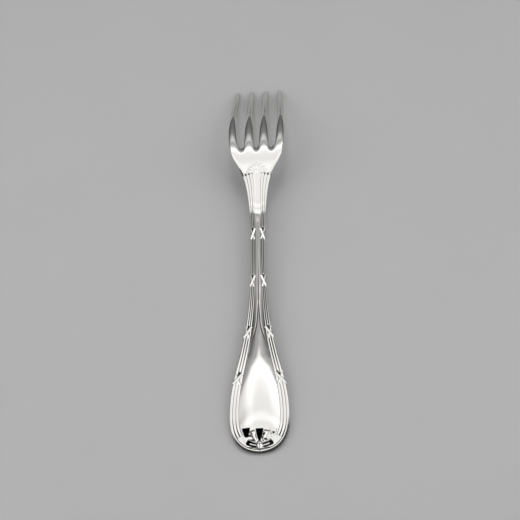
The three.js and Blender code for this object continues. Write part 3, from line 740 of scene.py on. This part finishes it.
def leaf_rings(start, end, face):
    """Rings of a pointed leaf from its start to its end, half sunk in the palm."""
    u = np.linspace(0, 1, 13)[:, None]
    around = np.linspace(0, 2 * math.pi, 17)[:-1][None, :]
    axis = np.subtract(end, start)
    length = np.hypot(*axis)
    swell = np.sqrt(np.clip(1 - (2 * u - 1) ** 2, 0.0004, 1))
    beside = swell * leaf_half_width * np.cos(around)
    x = start[0] + axis[0] * u + beside * axis[1] / length
    s = start[1] + axis[1] * u - beside * axis[0] / length
    n = head_thickness(s) / 2 + swell * leaf_rise * np.sin(around)
    return np.stack([x, s, face * n], -1)


for name, face in (("back", 1), ("front", -1)):
    leaves = []
    for turn in np.radians(np.linspace(-75, 75, fan_leaves)):
        reach = np.array([math.sin(turn), math.cos(turn)])
        start = (0, fan_at) + reach * leaf_start
        end = (0, fan_at) + reach * leaf_end
        leaves.append(rolled_bar("leaf", leaf_rings(start, end, face)))
    fan = join_pieces(f"fan_{name}", leaves)
    finish_piece(fan, points_of(fan), chased_silver, "chased_silver", f"neck_fan_{name}")


# Floor: a sheet of matt studio paper, pale grey, with the faint clouds of its pulp about 30 mm
# across. It is only the stage and no part of the fork.
bpy.ops.mesh.primitive_plane_add(size=8)
floor = bpy.context.object
floor.name = "floor"
studio_paper = bpy.data.materials.new("pale matt paper")
studio_paper.use_nodes = True
tree = studio_paper.node_tree
paper = tree.nodes["Principled BSDF"]
paper.inputs["Roughness"].default_value = 0.8
place = add_node(tree, "ShaderNodeTexCoord").outputs["Object"]
pulp = add_node(tree, "ShaderNodeTexNoise", [(place, "Vector")], Scale=1 / (30 * MM), Detail=2)
tint = add_node(tree, "ShaderNodeValToRGB", [(pulp.outputs["Fac"], "Fac")])
tint.color_ramp.elements[0].color = linear("#a4a4a4")
tint.color_ramp.elements[1].color = linear("#a7a7a7")
tree.links.new(tint.outputs["Color"], paper.inputs["Base Color"])
floor.data.materials.append(studio_paper)


# Studio light: a wide soft ceiling that ends just behind the fork, a grey wall beyond it that
# darkens towards the floor, and a dark hood before the fork. Softboxes above, beside and before
# the fork light the paper and soften its shadow.
world = bpy.data.worlds.new("studio")
bpy.context.scene.world = world
world.use_nodes = True
tree = world.node_tree
ray = add_node(tree, "ShaderNodeTexCoord").outputs["Generated"]
sky = add_node(tree, "ShaderNodeSeparateXYZ", [(ray, "Vector")])
degree = math.radians(1)


def level_ramp(source, reach, stops, unit=1):
    """Grey levels at (value, level) stops between -reach and reach, by a socket in the given unit."""
    limits = {"From Min": -reach * unit, "From Max": reach * unit}
    share = add_node(tree, "ShaderNodeMapRange", [(source, "Value")], **limits)
    node = add_node(tree, "ShaderNodeValToRGB", [(share.outputs["Result"], "Fac")])
    while len(node.color_ramp.elements) < len(stops):
        node.color_ramp.elements.new(0.5)
    for element, (value, level) in zip(node.color_ramp.elements, stops):
        element.position = (value + reach) / (2 * reach)
        element.color = (level, level, level, 1)
    return node.outputs["Color"]


# Along the fork: the ceiling, its far edge as seen straight above and to either side, the wall
behind = add_node(tree, "ShaderNodeMath", [(sky.outputs["Y"], 0), (sky.outputs["Z"], 1)],
                  operation="ARCTAN2").outputs["Value"]
overhead = [(-90, 0.25), (-60, 0.8), (9.5, 1.05), (11.5, 0.97), (13.6, 1.2), (15.3, 1.2), (17.1, 0.97),
            (18.9, 1.02), (20.4, 1.2), (21.5, 1.35), (24.3, 1.35)]
middle_edge = [(25, 0.62), (25.8, 0.41), (26.4, 0.39), (28.6, 0.73), (31, 0.7)]
flank_edge = [(25.2, 0.72), (26.4, 0.57), (28.6, 0.5), (31, 0.44)]
far_wall = [(38.9, 0.27), (57, 0.19), (83, 0.147), (88.6, 0.19), (89.3, 0.42), (90, 0.42)]
middle = level_ramp(behind, 90, overhead + middle_edge + far_wall, degree)
flanks = level_ramp(behind, 90, overhead + flank_edge + far_wall, degree)
aside = add_node(tree, "ShaderNodeMath", [(sky.outputs["X"], 0)], operation="ADD")
aside.inputs[1].default_value = 0.08
aside = add_node(tree, "ShaderNodeMath", [(aside.outputs["Value"], 0)], operation="ABSOLUTE")
limits = {"From Min": 0.08, "From Max": 0.25}
joins = [(aside.outputs["Value"], "Value"), (middle, "To Min"), (flanks, "To Max")]
ceiling = add_node(tree, "ShaderNodeMapRange", joins, **limits)

# Across the fork: the panels of the ceiling and the walls on either side
panels = level_ramp(sky.outputs["X"], 1, [
    (-1, 0.6), (-0.75, 0.55), (-0.55, 0.54), (-0.47, 0.62), (-0.4, 0.76), (-0.34, 0.98), (-0.27, 1.06),
    (-0.18, 0.94), (0, 0.93), (0.16, 0.95), (0.26, 1.07), (0.36, 1.12), (0.44, 1.02), (0.52, 0.86),
    (0.75, 0.6), (1, 0.6)])
walls = level_ramp(sky.outputs["X"], 1, [
    (-1, 0.5), (-0.75, 0.45), (-0.5, 0.55), (-0.3, 0.8), (-0.08, 0.95), (0.15, 0.9), (0.35, 0.75),
    (0.5, 0.58), (0.75, 0.48), (1, 0.5)])
limits = {"From Min": 23 * degree, "From Max": 25 * degree}
joins = [(behind, "Value"), (panels, "To Min"), (walls, "To Max")]
sides = add_node(tree, "ShaderNodeMapRange", joins, **limits)

# The hood hangs a little aslant before the fork, and keeps the light off what faces it
slant = add_node(tree, "ShaderNodeMath", [(sky.outputs["X"], 0), (sky.outputs["Y"], 2)],
                 operation="MULTIPLY_ADD")
slant.inputs[1].default_value = 0.55
before = add_node(tree, "ShaderNodeMath", [(slant.outputs["Value"], 0), (sky.outputs["Z"], 1)],
                  operation="ARCTAN2").outputs["Value"]
hood = level_ramp(before, 90, [(-90, 1), (-50, 1), (-42, 0.08), (-12, 0.08), (-9, 1), (90, 1)], degree)
lit = add_node(tree, "ShaderNodeMath", [(hood, 0), (sides.outputs["Result"], 1)], operation="MULTIPLY")
background = tree.nodes["Background"]
tree.links.new(ceiling.outputs["Result"], background.inputs["Color"])
tree.links.new(lit.outputs["Value"], background.inputs["Strength"])
bpy.context.scene.view_settings.view_transform = "Standard"
softbox_size = 0.6
for name, place, energy, spread in [("softbox_above", (0.03, 0.454, 0.891), 0.223, 30),
                                    ("softbox_left", (-0.5, 0, 0.5), 1.89, 180),
                                    ("softbox_right", (0.5, 0, 0.5), 1.67, 180),
                                    ("softbox_front", (0, -0.5, 0.5), 0.48, 180)]:
    lamp_data = bpy.data.lights.new(name, "AREA")
    lamp_data.shape = "DISK"
    lamp_data.size = softbox_size
    lamp_data.energy = energy
    lamp_data.spread = math.radians(spread)
    lamp = bpy.data.objects.new(name, lamp_data)
    bpy.context.scene.collection.objects.link(lamp)
    lamp.location = place
    lamp.rotation_euler = (-Vector(place)).to_track_quat("-Z", "Y").to_euler()
    lamp.visible_glossy = False


# Camera: a long lens half a metre from the fork, at the photograph's height and turn, rolled so that
# the fork stands upright in the picture.
camera_distance = 0.5
camera_elevation = math.radians(57.5)
camera_turn = math.radians(8)
camera_roll = math.radians(-9.66)
camera_target = Vector((0.5 * MM, -2.8 * MM, 4 * MM))
away = Vector((math.sin(camera_turn) * math.cos(camera_elevation),
               -math.cos(camera_turn) * math.cos(camera_elevation), math.sin(camera_elevation)))
camera_data = bpy.data.cameras.new("camera")
camera_data.sensor_width = 36
camera_data.lens = 101.8
camera = bpy.data.objects.new("camera", camera_data)
bpy.context.scene.collection.objects.link(camera)
roll = Matrix.Rotation(camera_roll, 4, "Z")
facing = (-away).to_track_quat("-Z", "Y").to_matrix().to_4x4()
camera.matrix_world = Matrix.Translation(camera_target + away * camera_distance) @ facing @ roll
bpy.context.scene.camera = camera
